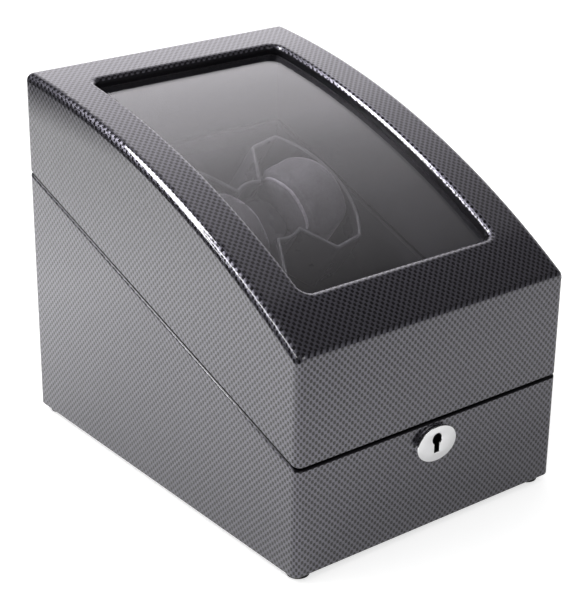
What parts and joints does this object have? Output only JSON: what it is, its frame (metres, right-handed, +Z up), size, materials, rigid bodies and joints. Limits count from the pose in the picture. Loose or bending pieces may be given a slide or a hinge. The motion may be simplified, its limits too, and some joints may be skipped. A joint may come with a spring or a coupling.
{
  "type": "watch winder box",
  "caption": "Lockable box with a curved hinged lid and a sunk smoky window over a tilted motor-driven turntable that carries watch pillows.",
  "frame": {"origin": "on the ground under the middle of the box, its front lock and rear hinge knuckles standing out equally", "axes": "+X to the right seen from the front, +Y to the back, +Z up"},
  "size_m": [0.15, 0.2124, 0.1723],
  "materials": {
    "carbon_lacquer": "clear high-gloss lacquer over a dark woven pattern",
    "black_board": "black painted fibreboard",
    "board_wood": "plain fibreboard",
    "black_steel": "blackened steel",
    "foot_rubber": "matt black rubber",
    "velvet": "black velvet covering",
    "plate_aluminium": "fine brushed aluminium",
    "black_plastic": "black moulded plastic",
    "circuit_board": "green circuit board",
    "white_nylon": "natural nylon",
    "steel": "bright steel",
    "lock_chrome": "polished chrome",
    "hinge_chrome": "polished chrome",
    "bush_brass": "turned brass",
    "smoked_acrylic": "smoky tinted acrylic",
    "tray_plastic": "black moulded plastic, satin gloss",
    "pillow_leather": "fine-grained black leatherette over foam"
  },
  "bodies": {
    "base": {"base_shell": "carbon_lacquer", "base_bottom": "black_board", "shelf_cleats": "board_wood", "panel_cleat": "board_wood", "bottom_screws": "black_steel", "foot_screws": "black_steel", "foot_front_left": "foot_rubber", "foot_front_right": "foot_rubber", "foot_rear_left": "foot_rubber", "foot_rear_right": "foot_rubber", "lid_bumpers": "foot_rubber", "base_liner": "velvet", "rotor_panel": "velvet", "control_shelf": "velvet", "control_plate": "plate_aluminium", "switch_body": "black_plastic", "rocker_frame": "black_plastic", "control_board": "circuit_board", "board_posts": "white_nylon", "dc_jack": "black_plastic", "jack_nut": "steel", "lock_escutcheon": "lock_chrome", "lock_case": "steel", "lock_case_screws": "steel", "hinge_base_leaf_left": "hinge_chrome", "hinge_base_leaf_right": "hinge_chrome", "hinge_pin_left": "steel", "hinge_pin_right": "steel", "hinge_base_screws": "steel", "upper_bush": "bush_brass", "lower_bush": "bush_brass", "thrust_washer": "white_nylon", "motor_plate": "steel", "plate_spacers": "bush_brass", "plate_screws": "steel", "gearbox_case": "black_plastic", "gearbox_screws": "steel", "motor_can": "steel"},
    "lid": {"lid_shell": "carbon_lacquer", "lid_lining": "velvet", "window_pane": "smoked_acrylic", "pane_frame": "velvet", "pane_frame_screws": "black_steel", "lock_strike": "lock_chrome", "strike_screws": "steel", "hinge_lid_leaf_left": "hinge_chrome", "hinge_lid_leaf_right": "hinge_chrome", "hinge_lid_screws": "steel"},
    "rotor": {"rotor_tray": "tray_plastic", "hub_cap": "tray_plastic", "rotor_screw": "black_steel", "rotor_shaft": "steel", "drive_gear": "white_nylon", "shaft_clip": "black_steel"},
    "pillow_right": {"pillow_right": "pillow_leather"},
    "pillow_left": {"pillow_left": "pillow_leather"},
    "pinion": {"motor_pinion": "bush_brass"},
    "bolt": {"lock_bolt": "steel"},
    "knob": {"mode_knob": "black_plastic"},
    "rocker": {"power_rocker": "black_plastic"}
  },
  "joints": [
    {"name": "lid_open", "type": "hinge", "parent": "base", "child": "lid", "pos_m": [0, 0.1037, 0.12582], "axis": [-1, 0, 0], "range_deg": [0, 95]},
    {"name": "rotor_spin", "type": "hinge", "parent": "base", "child": "rotor", "pos_m": [0, 0.01466, 0.11375], "axis": [0, -0.5948, 0.8039], "continuous": true},
    {"name": "pinion_spin", "type": "hinge", "parent": "base", "child": "pinion", "pos_m": [0.0288, 0.01466, 0.11375], "axis": [0, -0.5948, 0.8039], "continuous": true},
    {"name": "pillow_right_lift", "type": "slide", "parent": "rotor", "child": "pillow_right", "axis": [0, -0.5948, 0.8039], "range_m": [0, 0.0075]},
    {"name": "pillow_left_lift", "type": "slide", "parent": "rotor", "child": "pillow_left", "axis": [0, -0.5948, 0.8039], "range_m": [0, 0.0075]},
    {"name": "bolt_throw", "type": "slide", "parent": "base", "child": "bolt", "axis": [0, 0, 1], "range_m": [0, 0.006]},
    {"name": "mode_turn", "type": "hinge", "parent": "base", "child": "knob", "pos_m": [0.026, -0.0492, 0.0382], "axis": [0, 0, -1], "range_deg": [0, 180]},
    {"name": "power_rock", "type": "hinge", "parent": "base", "child": "rocker", "pos_m": [-0.026, -0.0492, 0.0382], "axis": [1, 0, 0], "range_deg": [0, 18]}
  ],
  "couplings": [
    {"joint": "pinion_spin", "follows": "rotor_spin", "ratio": -3}
  ]
}
